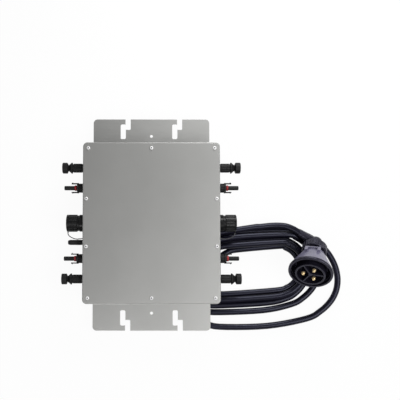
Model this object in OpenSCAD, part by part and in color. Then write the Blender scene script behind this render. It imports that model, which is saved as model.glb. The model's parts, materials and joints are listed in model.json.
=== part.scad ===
// Micro inverter: flat case on a finned heat sink, two mounting flanges, DC connectors and capped AC ports
// on both sides, a stub antenna, and a coiled AC lead that ends in a three-pin coupler.
// The part lies on its heat sink: +Z points out of the cover, +Y to the upper flange, origin on the floor.

/* [Case] */
// Width of the cover, across the connector sides
cover_w = 233; // [210:1:270]
// Length of the cover, between the flanges
cover_l = 274; // [262:1:320]
// Thickness of the cover plate
cover_t = 3; // [2:0.5:5]
// Corner radius of the cover
cover_r = 7.5; // [5.5:0.5:12]
// Bevel round the top of the cover
cover_bevel = 1.2; // [0.3:0.1:1.5]
// Height of the tray, floor to rim
tray_h = 36; // [34:1:60]
// Wall of the tray
wall = 2.5; // [2:0.5:4]
// Floor of the tray
floor_t = 3; // [2:0.5:5]
// Thickness of the gasket under the cover
gasket_t = 1; // [0.5:0.25:2]
// How far the cover stands out past the side walls
overhang = 1.5; // [0.5:0.25:2]

/* [Cover screws] */
// Head diameter
screw_head_d = 6; // [5.5:0.5:9]
// Head height
screw_head_h = 2.2; // [1.8:0.1:3]
// Shank diameter
screw_d = 3.6; // [3:0.1:4.4]
// Length of thread below the cover
screw_grip = 8; // [6:1:9]
// Distance of the corner screws from the cover's sides
corner_screw_in = 9; // [8:0.25:12]
// Distance of the end rows from the cover's ends
row_in = 10; // [9:0.25:14]
// Distance of the side screws from the cover's sides
side_screw_in = 6; // [5.5:0.25:8]
// Distance of the side screws from the middle
side_screw_y = 40.5; // [38:0.5:45]

/* [Mounting flanges] */
// Thickness of the sheet
sheet = 2.5; // [2:0.25:4]
// Width of a flange
flange_w = 204; // [180:1:210]
// Length over both flanges
overall_l = 370; // [360:1:420]
// Height of the leg on the end wall
leg_h = 28; // [24:1:32]
// Inside radius of the bend
bend_r = 3; // [1.5:0.5:5]
// Corner radius of a flange
flange_corner = 7; // [3:0.5:10]
// Width of a slot
slot_w = 9.2; // [7:0.1:10]
// Middle between the two slots' pairs of channels, from the centre line
slot_x = 45.5; // [40:0.5:60]
// Sideways step from the seat to the mouth of a slot
slot_step = 8.5; // [7:0.25:9]
// Depth of a slot's mouth from the flange's edge
mouth_depth = 18.5; // [17.5:0.5:24]
// Outer end of a slot's seat, from the flange's edge
seat_near = 8.5; // [7.5:0.5:12]
// Inner end of a slot's seat, from the flange's edge
seat_far = 35; // [30:0.5:38]
// Diameter of the small earthing hole
earth_hole_d = 5.3; // [4:0.1:7]
// Distance of the earthing hole from the flange's edge
earth_hole_in = 30; // [26:0.5:34]
// Rivet shank diameter
rivet_d = 3.2; // [2.4:0.1:4]

/* [Heat sink] */
// Width
sink_w = 80; // [60:1:86]
// Length
sink_l = 250; // [200:1:262]
// Height, which is also the room under the case
sink_h = 24; // [23.5:0.5:40]
// Thickness of its base
sink_base = 6; // [5:0.5:9]
// Thickness of a fin
fin_t = 3; // [2:0.5:4]
// Number of fins
fin_n = 7; // [5:1:9]

/* [Connector rows] */
// Height of the connector axes above the case's back
axis_rise = 20; // [18.5:0.5:21]
// Distance of the DC sockets from the middle
socket_y = 95.5; // [92:0.5:105]
// Distance of the DC plugs from the middle
plug_y = 60.7; // [58:0.1:66]
// Distance of the antenna below the middle
antenna_y = 33; // [31:0.5:35]
// Thickness of the seals on the wall
seal_t = 1; // [0.5:0.25:1.5]
// Thickness of the nuts inside the wall
panel_nut_t = 4; // [3:0.5:6]
// Radius of a DC connector's thread
dc_thread_r = 6.4; // [5.5:0.1:6.8]
// Clearance round threads and sliding fits
fit = 0.2; // [0.1:0.05:0.3]

/* [DC sockets] */
// Length out of the wall
socket_len = 38.4; // [36:0.2:46]
// Radius of the head
socket_head_r = 9.5; // [8.8:0.05:10]
// Length of the head
socket_head_len = 8.3; // [6:0.1:9]
// Radius of the neck behind the head
socket_neck_r = 5; // [4.6:0.1:6]
// Radius of the body
socket_body_r = 7.05; // [6.9:0.05:8]
// Radius of the flange on the wall
socket_flange_r = 8.3; // [7.8:0.1:9]

/* [DC plugs] */
// Length out of the wall
plug_len = 35; // [31:0.5:42]
// Radius of the barrel
barrel_r = 3.75; // [3.2:0.05:3.8]
// Radius of the red seal ring
seal_ring_r = 4.8; // [4.2:0.05:5]
// Width of the red seal ring
seal_ring_w = 3.6; // [2.5:0.1:4.5]
// Radius of the hub
hub_r = 7.25; // [6.8:0.05:7.6]
// Radius of the collar that carries the latch arms
collar_r = 9; // [8.8:0.05:9.4]
// Length of a latch arm from its hinge
latch_len = 11.25; // [9:0.25:13]
// Thickness of a latch arm
latch_t = 1.9; // [1:0.1:2]
// Width of a latch arm
latch_w = 4; // [3:0.25:5]
// Distance of a latch arm from the plug's axis
latch_y = 7.6; // [7.4:0.05:7.8]

/* [AC ports] */
// Outside radius of the cap over its ribs
cap_r = 14.75; // [13.8:0.05:15.5]
// Distance of the cap's end from the wall
cap_end = 30.6; // [28:0.2:36]
// Radius of the port's collar on the wall
port_collar_r = 14.85; // [14:0.05:16]
// Length of the collar from the wall
port_collar_len = 8.8; // [7:0.1:10]
// Width of the groove between collar and cap
port_groove_w = 2.4; // [1.5:0.1:3]
// Radius of the port's barrel under the cap
port_barrel_r = 11.6; // [10.5:0.1:12]
// Number of grip ribs on the cap
cap_ribs = 16; // [10:1:20]
// Width of the swivel ring on the cap
ring_w = 2; // [1.5:0.1:3]
// Diameter of the tether
tether_d = 1.5; // [1.2:0.1:2]

/* [Antenna] */
// Length out of the wall
antenna_len = 28; // [22:0.5:40]
// Radius of the sleeve
antenna_r = 4.4; // [3.5:0.1:5]

/* [AC lead] */
// Diameter of the cable
lead_d = 11; // [10:0.25:11]
// Gap kept between strands
lead_gap = 0.9; // [0.6:0.1:1]
// Radius of the tightest half turn
coil_r = 38; // [36:0.5:39]
// Half the straight run between the half turns
coil_run = 48; // [46:0.5:49]

/* [Coupler] */
// Radius of the bell's rim
rim_r = 36.9; // [35.4:0.1:37.2]
// Wall of the bell
bell_wall = 3.5; // [3:0.25:4]
// Radius of the bell's back
bell_back_r = 19; // [18:0.25:19.5]
// Radius of the coupler nut
coupler_nut_r = 21.3; // [20:0.1:21.3]
// Radius of the insert ring
insert_r = 25; // [23:0.25:25.4]
// Radius of a contact pin
pin_r = 3.2; // [2.5:0.1:4]
// Distance of the pins from the coupler's axis
pin_circle_r = 11.7; // [10.5:0.1:13]

/* [Hidden] */
$fn = 48;
eps = 0.01;
LEFT = -1;
RIGHT = 1;
UPPER = 1;
LOWER = -1;
SIDES = [LEFT, RIGHT];
ROWS = [LOWER, UPPER];

// Levels and outlines of the case
case_z = sink_h;
floor_z = case_z + floor_t;
rim_z = case_z + tray_h;
cover_z = rim_z + gasket_t;
top_z = cover_z + cover_t;
axis_z = case_z + axis_rise;
tray_w = cover_w - 2 * overhang;
tray_l = cover_l - 2 * sheet;
tray_r = cover_r - overhang;
wall_x = tray_w / 2;
end_y = tray_l / 2;

// Cover screws and their bosses
boss_r = 4.5;
boss_h = screw_grip + 3;
boss_web = 6;
cover_screw_places = concat(
    [for (s = SIDES, r = ROWS) [s * (cover_w / 2 - corner_screw_in), r * (cover_l / 2 - row_in)]],
    [for (r = ROWS) [0, r * (cover_l / 2 - row_in)]],
    [for (s = SIDES, r = ROWS) [s * (cover_w / 2 - side_screw_in), r * side_screw_y]]);

// Flange slots, as the seats' centres
seat_places = [for (s = SIDES) s * slot_x - slot_step / 2];
flange_y = overall_l / 2;
rivet_places = [-flange_w * 5 / 12, -flange_w * 5 / 36, flange_w * 5 / 36, flange_w * 5 / 12];
rivet_z = case_z + leg_h * 0.64;
rivet_head_r = rivet_d * 0.9;
rivet_head_h = 1.2;

// Heat sink screws, which pass through the tray's floor between the fins
sink_screw_places = [for (s = SIDES, r = ROWS) [s * sink_w / 4, r * sink_l * 0.42]];
sink_screw_head_h = 2.4;

// DC sockets, as distances from the wall
socket_head_x = socket_len - socket_head_len;
socket_neck_x = socket_head_x - 2.1;
socket_cone_x = socket_head_x - 7.4;
socket_rim_x = socket_cone_x - 1.2;
socket_bore_r = barrel_r + fit;
socket_bore_depth = plug_len - 13;
socket_contact_r = socket_bore_r - 3 * fit;
socket_contact_t = 1;
socket_contact_x = socket_len - socket_bore_depth - socket_contact_t - fit;
latch_slot_w = latch_w + 6 * fit;

// DC plugs, as distances from the wall
collar_x = 10;
collar_t = 2.8;
hinge_x = collar_x + collar_t / 2;
knuckle_r = 1.25;
hinge_pin_r = 0.45;
ring_x = collar_x + collar_t + 1;
tip_bore_r = barrel_r * 0.6;
tip_bore_depth = 8;

// AC ports and caps, as distances from the wall
cap_x = port_collar_len + port_groove_w + 1.5 * fit;
cap_body_r = cap_r - 0.75;
cap_bore_r = port_barrel_r + 2 * fit;
cap_floor_x = cap_end - 4.6;
barrel_end = cap_floor_x - 1.5;
ring_x0 = cap_end - 1.2 - ring_w;
ring_seat_r = cap_body_r - 1;
ac_thread_r = port_barrel_r + 0.2;
port_contact_r = 1.6;
lug_len = 1.6;
eyelet_x = 2;
eyelet_y = cap_r + 5;
eyelet_len = 1.7;
tether_mid_x = ring_x0 + ring_w / 2;

// Antenna
antenna_thread_r = 3;
antenna_nut_r = 5.2;
antenna_nut_x = seal_t + 3.5;

// Loops of the lead beside the right-hand wall: strands nest in two layers, closest at the top, and
// change layers under the case, where they lie side by side
lead_r = lead_d / 2;
pitch = lead_d + lead_gap;
nest_top = 0.52;
nest_low = 0.12;
nest_low_at = -80;
nest_swap = 0.46;
swap_at = -134;
swap_turn = (180 - swap_at) / 360;
nest_share = 0.965;
coil_x = wall_x + 62;
coil_y = -80.5;
coil_lean = 5;
coil_flat = 3;
coil_turns = 5.236;
step_share = 0.36;
swing_side = 26;
swing_side_at = 0;
swing_down = 23;
swing_down_at = -46;
coil_start = 0.055;
start_inset = 20;
gland_rise = 6.5;
coil_rings = 24;
tube_sides = 6;

function ease(x) = let (c = min(max(x, 0), 1)) c * c * (3 - 2 * c);
function lobe(a, at, power) = pow((1 + cos(a - at)) / 2, power);
function loop_number(t) =
    let (u = t - swap_turn) u < 0 ? 0 : floor(u) + ease((u - floor(u)) / step_share);
function loop_step(a) =
    pitch * (nest_top + nest_low * lobe(a, nest_low_at, 2) + nest_swap * lobe(a, swap_at, 5));
function reach(n, a) =
    coil_x * cos(a) + coil_y * sin(a) + coil_r
    + norm([coil_run * cos(a - coil_lean), coil_flat * sin(a - coil_lean)])
    + n * loop_step(a)
    + swing_side * ease((n - 2) / 2) * lobe(a, swing_side_at, 3)
    + swing_down * ease(n - 3) * lobe(a, swing_down_at, 3);
function strand_step(t) =
    let (a = 180 - 360 * t, n = loop_number(t),
        back = t >= 1 ? reach(n, a) - reach(n - 1, a) : pitch,
        on = t + 1 <= coil_turns ? reach(n + 1, a) - reach(n, a) : pitch)
    nest_share * min(back, on);
function coil_z(t) =
    floor(t + 1 - swap_turn) % 2 == 0 ? lead_r + gland_rise * (1 - ease((t - coil_start) / 0.2))
    : lead_r + sqrt(max(0, pitch * pitch - pow(strand_step(t), 2)));
function coil_point(t) =
    let (a = 180 - 360 * t, n = loop_number(t), h = reach(n, a),
        d = (reach(n, a + 1) - reach(n, a - 1)) * 90 / PI,
        inset = start_inset * (1 - ease((t - 0.21) / 0.08)))
    [h * cos(a) - d * sin(a) + inset, h * sin(a) + d * cos(a), coil_z(t)];

// Coupler, which lies on the right-hand end of the coil: its nut on the outer strands, its foot on an
// inner one
coupler_rise = 37.7;
coupler_heading = -111.5;
coupler_nut_len = 14;
rest_gap = 0.4;
coupler_at = [wall_x + 167.5, -44.7,
    lead_d + rest_gap + sin(coupler_rise) * coupler_nut_len / 2 + cos(coupler_rise) * coupler_nut_r];
bell_back = 13;
bell_len = 42;
rim_band = 4;
rim_u = bell_back + bell_len;
bell_slope = atan((rim_r - bell_back_r) / (bell_len - rim_band));
insert_back = 37;
insert_front = rim_u + 4;
insert_floor = insert_front - 14;
neck_r = bell_back_r - bell_wall - 0.5;
dome_r = 12;
dome_u = -15;
outlet_r = 8.5;
outlet_len = 33;
outlet_heading = 146;
outlet_drop = 0.1;
foot_u = 24;
foot_reach = 33.5;
tab_turn = 25;
tab_w = 26;
pin_turn = 52;
coupler_axis = [
    cos(coupler_rise) * cos(coupler_heading), cos(coupler_rise) * sin(coupler_heading), sin(coupler_rise)];
outlet_axis = [cos(outlet_heading), sin(outlet_heading), -outlet_drop];
outlet_from = coupler_at + dome_u * coupler_axis;
outlet_mouth = outlet_from + outlet_len * outlet_axis / norm(outlet_axis);

// Routes of the lead and of a tether
function flat_way(t) =
    let (d = coil_point(t + 0.004) - coil_point(t - 0.004), f = [d.x, d.y, 0]) f / norm(f);
coil_start_way = flat_way(coil_start);
coil_end_way = flat_way(coil_turns);
gland_mouth = coil_point(coil_start) - lead_d * coil_start_way;
coil_end = coil_point(coil_turns) + lead_d * coil_end_way;
function coil_run_points(rings) = [for (i = [0 : rings - 1])
    coil_point(coil_start + (coil_turns - coil_start) * i / (rings - 1))];
coil_points = concat([gland_mouth], coil_run_points(coil_rings * 5 + 5), [coil_end]);
tail_route = [[89, -3.2, 15.9], [98, -2.5, 16.1], [107, -2.3, 16.5], [116, -2.8, 17.1], [124.5, -4.4, 17.9]];
tail_points = concat(
    [coil_end, coil_end + lead_r * coil_end_way], [for (p = tail_route) p + [wall_x, 0, 0]],
    [outlet_mouth + lead_d * outlet_axis, outlet_mouth]);
tether_from = [tether_mid_x, -cap_r - lug_len, 0];
tether_to = [eyelet_x, -eyelet_y - eyelet_len, 0];
tether_near = [
    [0, -1.5, 0], [-0.5, -3.4, -0.9], [-1.8, -5.3, -2.7], [-4, -7.1, -5], [-7, -8.7, -7.2],
    [-10.6, -9.9, -8.8], [-14.5, -10.5, -9.4]];
tether_far = [
    [8.7, -5, -8.8], [5.9, -5, -7.5], [3.4, -4.8, -5.4], [1.6, -4.4, -3.3], [0.6, -3.7, -1.6],
    [0.1, -2.6, -0.5], [0, -1.3, 0]];
tether_points = concat(
    [tether_from], [for (p = tether_near) tether_from + p],
    [for (p = tether_far) tether_to + p], [tether_to]);

// Least gap between the coil's strands, measured half a turn or more apart
check_rings = 48;
check_points = concat([gland_mouth], coil_run_points(check_rings * 5 + 10), [coil_end]);
least_gap = min([for (i = [0 : len(check_points) - 1])
    for (j = [i + check_rings / 2 : 1 : len(check_points) - 1])
        norm(check_points[i] - check_points[j])]) - lead_d;
echo(least_gap_of_coil = least_gap);

// Helpers for outlines, sides and sweeps
module rounded_rect(w, l, r) {
    square([w - 2 * r, l], center = true);
    square([w, l - 2 * r], center = true);
    for (x = SIDES, y = ROWS) translate([x * (w / 2 - r), y * (l / 2 - r)]) circle(r);
}

module bevelled_plate(w, l, t, r, c) {
    linear_extrude(t - c) rounded_rect(w, l, r);
    translate([0, 0, t - c]) {
        for (x = SIDES, y = ROWS) translate([x * (w / 2 - r), y * (l / 2 - r), 0]) cylinder(c, r, r - c);
        rotate([90, 0, 0]) linear_extrude(l - 2 * r, center = true)
            polygon([[-w / 2, 0], [w / 2, 0], [w / 2 - c, c], [c - w / 2, c]]);
        rotate([90, 0, 90]) linear_extrude(w - 2 * r, center = true)
            polygon([[-l / 2, 0], [l / 2, 0], [l / 2 - c, c], [c - l / 2, c]]);
    }
}

module spin(points) { rotate_extrude($fn = 64) polygon(points); }

module tube(r_out, r_in, z0, z1) {
    translate([0, 0, z0]) difference() {
        cylinder(z1 - z0, r_out, r_out);
        translate([0, 0, -eps]) cylinder(z1 - z0 + 2 * eps, r_in, r_in);
    }
}

module on_side(side, y) {
    mirror([side < 0 ? 1 : 0, 0, 0]) translate([wall_x, y, axis_z]) children();
}

module along_x() { rotate([0, 90, 0]) children(); }

module at_coupler() {
    translate(coupler_at) rotate([0, 90 - coupler_rise, coupler_heading]) children();
}

module sweep(points, r, sides) {
    count = len(points);
    function way(i) = let (d = points[min(i + 1, count - 1)] - points[max(i - 1, 0)]) d / norm(d);
    rings = [for (i = [0 : count - 1]) let (
        d = way(i), s = cross(d, [0, 0, 1]) / norm(cross(d, [0, 0, 1])), u = cross(s, d))
        for (k = [0 : sides - 1]) points[i] + r * (cos(360 * k / sides) * s + sin(360 * k / sides) * u)];
    function at(i, k) = i * sides + k % sides;
    walls = [for (i = [0 : count - 2]) for (k = [0 : sides - 1]) for (f = [
        [at(i, k), at(i + 1, k), at(i + 1, k + 1)], [at(i, k), at(i + 1, k + 1), at(i, k + 1)]]) f];
    caps = [for (k = [1 : sides - 2]) for (f = [
        [at(0, 0), at(0, k), at(0, k + 1)], [at(count - 1, 0), at(count - 1, k + 1), at(count - 1, k)]]) f];
    polyhedron(rings, concat(walls, caps));
}

// Heat sink and case
module heat_sink() {
    color("silver") difference() {
        union() {
            translate([-sink_w / 2, -sink_l / 2, sink_h - sink_base]) cube([sink_w, sink_l, sink_base]);
            for (i = [0 : fin_n - 1])
                translate([(sink_w - fin_t) * (i / (fin_n - 1) - 0.5) - fin_t / 2, -sink_l / 2, 0])
                    cube([fin_t, sink_l, sink_h - sink_base + eps]);
        }
        for (p = sink_screw_places) translate([p.x, p.y, sink_h - sink_base + 1])
            cylinder(sink_base, screw_d / 2 + fit / 2, screw_d / 2 + fit / 2);
    }
}

module heat_sink_screws() {
    color("silver") for (p = sink_screw_places) translate([p.x, p.y, 0]) {
        translate([0, 0, floor_z]) cylinder(sink_screw_head_h, screw_head_d / 2, screw_head_d / 2);
        translate([0, 0, sink_h - sink_base + 1 + fit])
            cylinder(sink_base + floor_t - 1 - fit + eps, screw_d / 2, screw_d / 2);
    }
}

module wall_holes() {
    for (s = SIDES) {
        for (r = ROWS, y = [socket_y, plug_y]) on_side(s, r * y) along_x()
            translate([0, 0, -2 * wall]) cylinder(3 * wall, dc_thread_r + fit, dc_thread_r + fit);
        on_side(s, 0) along_x() translate([0, 0, -2 * wall])
            cylinder(3 * wall, ac_thread_r + fit, ac_thread_r + fit);
    }
    on_side(LEFT, -antenna_y) along_x() translate([0, 0, -2 * wall])
        cylinder(3 * wall, antenna_thread_r + fit, antenna_thread_r + fit);
}

module rivet_holes() {
    for (r = ROWS, x = rivet_places) translate([x, r * end_y, rivet_z]) rotate([90, 0, 0])
        cylinder(4 * (wall + sheet), rivet_d / 2 + fit / 2, rivet_d / 2 + fit / 2, center = true);
}

module screw_bosses() {
    for (p = cover_screw_places) translate([p.x, p.y, cover_z - boss_h]) {
        web_l = end_y - abs(p.y);
        cylinder(boss_h, boss_r, boss_r);
        if (abs(p.y) > side_screw_y) translate([-boss_web / 2, p.y > 0 ? 0 : -web_l, 0])
            cube([boss_web, web_l, boss_h - gasket_t]);
    }
}

module case_tray() {
    color("silver") difference() {
        union() {
            difference() {
                translate([0, 0, case_z]) linear_extrude(tray_h) rounded_rect(tray_w, tray_l, tray_r);
                translate([0, 0, floor_z]) linear_extrude(tray_h)
                    rounded_rect(tray_w - 2 * wall, tray_l - 2 * wall, max(tray_r - wall, 1));
            }
            intersection() {
                screw_bosses();
                translate([0, 0, case_z]) linear_extrude(tray_h + gasket_t)
                    rounded_rect(tray_w - wall, tray_l - wall, tray_r - wall / 2);
            }
        }
        for (p = cover_screw_places) translate([p.x, p.y, cover_z - screw_grip - 1])
            cylinder(boss_h, screw_d / 2 + fit / 2, screw_d / 2 + fit / 2);
        for (p = sink_screw_places) translate([p.x, p.y, case_z - eps])
            cylinder(floor_t + 1, screw_d / 2 + fit, screw_d / 2 + fit);
        translate([elbow_at.x, elbow_at.y, case_z - eps])
            cylinder(floor_t + 1, elbow_thread_r + fit, elbow_thread_r + fit);
        wall_holes();
        rivet_holes();
    }
}

module cover_gasket() {
    color("dimgray") translate([0, 0, rim_z]) difference() {
        linear_extrude(gasket_t) rounded_rect(tray_w, tray_l, tray_r);
        translate([0, 0, -eps]) linear_extrude(gasket_t + 2 * eps)
            rounded_rect(tray_w - 2 * wall, tray_l - 2 * wall, max(tray_r - wall, 1));
        for (p = cover_screw_places) translate([p.x, p.y, -eps])
            cylinder(gasket_t + 2 * eps, boss_r + fit, boss_r + fit);
    }
}

module cover_plate() {
    color("darkgray") difference() {
        translate([0, 0, cover_z]) bevelled_plate(cover_w, cover_l, cover_t, cover_r, cover_bevel);
        for (p = cover_screw_places) translate([p.x, p.y, cover_z - eps])
            cylinder(cover_t + 1, screw_d / 2 + fit, screw_d / 2 + fit);
    }
}

module cover_screws() {
    color("whitesmoke") for (p = cover_screw_places) translate([p.x, p.y, top_z]) difference() {
        spin([[0, -cover_t - screw_grip], [screw_d / 2, -cover_t - screw_grip], [screw_d / 2, 0],
            [screw_head_d / 2, 0], [screw_head_d / 2, screw_head_h * 0.45],
            [screw_head_d * 0.34, screw_head_h], [0, screw_head_h]]);
        translate([0, 0, screw_head_h * 0.35])
            cylinder(screw_head_h, screw_head_d * 0.21, screw_head_d * 0.21, $fn = 6);
    }
}

// Mounting brackets
module bracket_profile() {
    bend_y = end_y + sheet + bend_r;
    bend_z = case_z + sheet + bend_r;
    translate([end_y, bend_z]) square([sheet, leg_h - sheet - bend_r]);
    translate([bend_y, case_z]) square([flange_y - bend_y, sheet]);
    intersection() {
        translate([bend_y, bend_z]) difference() {
            circle(bend_r + sheet);
            circle(bend_r);
        }
        translate([end_y, case_z]) square(sheet + bend_r);
    }
}

module slot_outline() {
    translate([0, flange_y - (seat_near + seat_far) / 2])
        rounded_rect(slot_w, seat_far - seat_near, slot_w * 0.3);
    translate([slot_step, flange_y - mouth_depth / 2 + slot_w / 2])
        rounded_rect(slot_w, mouth_depth + slot_w, slot_w / 5);
}

module bracket(row) {
    color("silver") mirror([0, row < 0 ? 1 : 0, 0]) difference() {
        rotate([90, 0, 90]) linear_extrude(flange_w, center = true) bracket_profile();
        translate([0, 0, case_z - 1]) linear_extrude(sheet + 2) {
            for (x = seat_places) translate([x, 0]) slot_outline();
            translate([0, flange_y - earth_hole_in]) circle(earth_hole_d / 2);
            for (s = SIDES) translate([s * (flange_w / 2 - flange_corner), flange_y - flange_corner])
                difference() {
                    translate([s * flange_corner, flange_corner]) square(2 * flange_corner, center = true);
                    circle(flange_corner);
                }
        }
        rivet_holes();
    }
}

module bracket_rivets() {
    color("gainsboro") for (r = ROWS, x = rivet_places)
        translate([x, r * (end_y + sheet), rivet_z]) rotate([-90 * r, 0, 0]) spin([
            [0, -sheet - wall - 1], [rivet_head_r * 0.85, -sheet - wall - 1],
            [rivet_head_r * 0.85, -sheet - wall], [rivet_d / 2, -sheet - wall], [rivet_d / 2, 0],
            [rivet_head_r, 0], [rivet_head_r * 0.6, rivet_head_h], [0, rivet_head_h]]);
}

// DC connectors
module dc_socket(side, row) {
    color("#202022") on_side(side, row * socket_y) along_x() difference() {
        spin([[0, -wall - panel_nut_t - 2], [dc_thread_r, -wall - panel_nut_t - 2], [dc_thread_r, seal_t],
            [socket_flange_r, seal_t], [socket_flange_r, seal_t + 1.4], [socket_body_r, seal_t + 1.4],
            [socket_body_r, socket_rim_x - 1], [socket_head_r, socket_rim_x], [socket_head_r, socket_cone_x],
            [socket_neck_r, socket_neck_x], [socket_head_r, socket_head_x],
            [socket_head_r, socket_len - 0.8], [socket_head_r - 0.8, socket_len], [0, socket_len]]);
        translate([0, 0, socket_len - socket_bore_depth])
            cylinder(socket_bore_depth + 1, socket_bore_r, socket_bore_r);
        translate([0, 0, socket_contact_x])
            cylinder(socket_contact_t + 1, socket_contact_r + fit, socket_contact_r + fit);
        for (s = SIDES) translate([0, s > 0 ? latch_y - 1.2 : -latch_y - 5, socket_head_x - 4])
            translate([-latch_slot_w / 2, 0, 0]) cube([latch_slot_w, 6.2, socket_len]);
    }
}

module dc_plug(side, row) {
    color("#1c1c1e") on_side(side, row * plug_y) along_x() {
        difference() {
            spin([[0, -wall - panel_nut_t - 2], [dc_thread_r, -wall - panel_nut_t - 2], [dc_thread_r, seal_t],
                [hub_r, seal_t], [hub_r, collar_x], [collar_r, collar_x], [collar_r, collar_x + collar_t],
                [seal_ring_r - 0.3, collar_x + collar_t], [seal_ring_r - 0.3, ring_x],
                [barrel_r - 0.5, ring_x], [barrel_r - 0.5, ring_x + seal_ring_w + fit],
                [barrel_r, ring_x + seal_ring_w + fit],
                [barrel_r, plug_len - 0.8], [barrel_r - 0.8, plug_len], [0, plug_len]]);
            translate([0, 0, plug_len - tip_bore_depth]) cylinder(tip_bore_depth + 1, tip_bore_r, tip_bore_r);
            for (s = SIDES) translate([0, s > 0 ? latch_y - 2 : -latch_y - 3, collar_x - fit])
                translate([-latch_w / 2 - 2 * fit, 0, 0]) cube([latch_w + 4 * fit, 5, collar_t + 1]);
        }
        for (s = SIDES) translate([0, s * latch_y, hinge_x]) rotate([0, 90, 0])
            cylinder(latch_w + 4 * fit + 0.4, hinge_pin_r, hinge_pin_r, center = true);
    }
}

module dc_latch(side, row, arm) {
    color("#1c1c1e") on_side(side, row * plug_y) mirror([0, arm < 0 ? 1 : 0, 0])
        translate([hinge_x, latch_y, 0]) difference() {
            union() {
                cylinder(latch_w, knuckle_r, knuckle_r, center = true);
                linear_extrude(latch_w, center = true) polygon([
                    [0, -latch_t / 2], [latch_len, -latch_t / 2], [latch_len, latch_t * 0.2],
                    [latch_len * 0.8, latch_t * 1.2], [latch_len * 0.8, latch_t / 2], [0, latch_t / 2]]);
            }
            cylinder(latch_w + 1, hinge_pin_r + fit / 2, hinge_pin_r + fit / 2, center = true);
        }
}

module dc_seal_rings() {
    color("#8c1f24") for (s = SIDES, r = ROWS) on_side(s, r * plug_y) along_x() spin([
        [barrel_r - 0.4, ring_x + fit / 2], [seal_ring_r - 0.5, ring_x + fit / 2],
        [seal_ring_r, ring_x + 0.6], [seal_ring_r, ring_x + seal_ring_w - 0.6],
        [seal_ring_r - 0.5, ring_x + seal_ring_w - fit / 2],
        [barrel_r - 0.4, ring_x + seal_ring_w - fit / 2]]);
}

module dc_contacts() {
    color("goldenrod") for (s = SIDES, r = ROWS) {
        on_side(s, r * socket_y) along_x() translate([0, 0, socket_contact_x])
            cylinder(socket_contact_t, socket_contact_r, socket_contact_r);
        on_side(s, r * plug_y) along_x()
            tube(tip_bore_r - fit / 2, tip_bore_r - 0.7, plug_len - tip_bore_depth, plug_len - 1);
    }
}

module panel_seals() {
    color("black") {
        for (s = SIDES, r = ROWS) {
            on_side(s, r * socket_y) along_x() tube(socket_flange_r - fit, dc_thread_r + fit / 2, 0, seal_t);
            on_side(s, r * plug_y) along_x() tube(hub_r - fit, dc_thread_r + fit / 2, 0, seal_t);
        }
        for (s = SIDES) on_side(s, 0) along_x() tube(port_collar_r - 0.5, ac_thread_r + fit / 2, 0, seal_t);
        on_side(LEFT, -antenna_y) along_x() tube(antenna_nut_r - 0.9, antenna_thread_r + fit / 2, 0, seal_t);
    }
}

module panel_nuts() {
    inner = -wall - panel_nut_t;
    color("gray") {
        for (s = SIDES, r = ROWS, y = [socket_y, plug_y])
            on_side(s, r * y) along_x() tube(dc_thread_r + 3, dc_thread_r + fit / 2, inner, -wall);
        for (s = SIDES) on_side(s, 0) along_x() tube(ac_thread_r + 4, ac_thread_r + fit / 2, inner, -wall);
        on_side(LEFT, -antenna_y) along_x()
            tube(antenna_thread_r + 1.6, antenna_thread_r + fit / 2, inner, -wall);
        translate([elbow_at.x, elbow_at.y, 0])
            tube(elbow_nut_r, elbow_thread_r + fit / 2, floor_z, floor_z + panel_nut_t);
    }
}

// AC ports, caps and tethers
module ac_port(side) {
    color("#262626") on_side(side, 0) along_x() difference() {
        union() {
            translate([0, 0, -wall - panel_nut_t - 2])
                cylinder(wall + panel_nut_t + 2 + seal_t + eps, ac_thread_r, ac_thread_r);
            intersection() {
                spin([[0, seal_t], [port_collar_r - 0.8, seal_t], [port_collar_r, seal_t + 0.8],
                    [port_collar_r, port_collar_len - 1.2], [port_collar_r - 1.2, port_collar_len],
                    [0, port_collar_len]]);
                rotate(22.5) cylinder(port_collar_len, port_collar_r * 1.045, port_collar_r * 1.045, $fn = 8);
            }
            translate([0, 0, seal_t])
                cylinder(port_collar_len + port_groove_w - seal_t, port_collar_r - 1.5, port_collar_r - 1.5);
            translate([0, 0, seal_t]) cylinder(barrel_end - seal_t, port_barrel_r, port_barrel_r);
        }
        translate([0, 0, -wall - panel_nut_t - 3])
            cylinder(wall + panel_nut_t + 3, ac_thread_r - 2, ac_thread_r - 2);
        for (k = [0 : 2]) rotate(90 + 120 * k) translate([port_barrel_r * 0.48, 0, barrel_end - 7])
            cylinder(8, port_contact_r, port_contact_r);
    }
}

module ac_cap(side) {
    color("#2a2a2a") on_side(side, 0) along_x() difference() {
        union() {
            spin([[0, cap_x], [cap_body_r - 0.8, cap_x], [cap_body_r, cap_x + 0.8],
                [cap_body_r, ring_x0 - 1.5 * fit], [ring_seat_r, ring_x0 - 1.5 * fit],
                [ring_seat_r, ring_x0 + ring_w + 1.5 * fit], [cap_body_r, ring_x0 + ring_w + 1.5 * fit],
                [cap_body_r, cap_end - 0.5], [cap_body_r - 2, cap_end], [3, cap_end + 0.3],
                [2.2, cap_end + 1], [0, cap_end + 1]]);
            for (k = [0 : cap_ribs - 1]) rotate(360 * k / cap_ribs) translate([cap_r - 1.3, 0, cap_x + 0.8])
                cylinder(ring_x0 - cap_x - 1.6, 1.3, 1.3, $fn = 24);
        }
        translate([0, 0, cap_x - eps]) cylinder(cap_floor_x - cap_x, cap_bore_r, cap_bore_r);
    }
}

module cap_seal(side) {
    color("black") on_side(side, 0) along_x()
        tube(cap_bore_r - fit, cap_bore_r - 3, barrel_end + fit, cap_floor_x - eps);
}

module cap_ring(side) {
    color("#2a2a2a") on_side(side, 0) {
        along_x() tube(cap_r, ring_seat_r + 1.5 * fit, ring_x0, ring_x0 + ring_w);
        translate([tether_mid_x, -cap_r - lug_len, 0]) rotate([-90, 0, 0])
            cylinder(lug_len + 0.6, tether_d * 0.65, tether_d * 0.65);
    }
}

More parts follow.
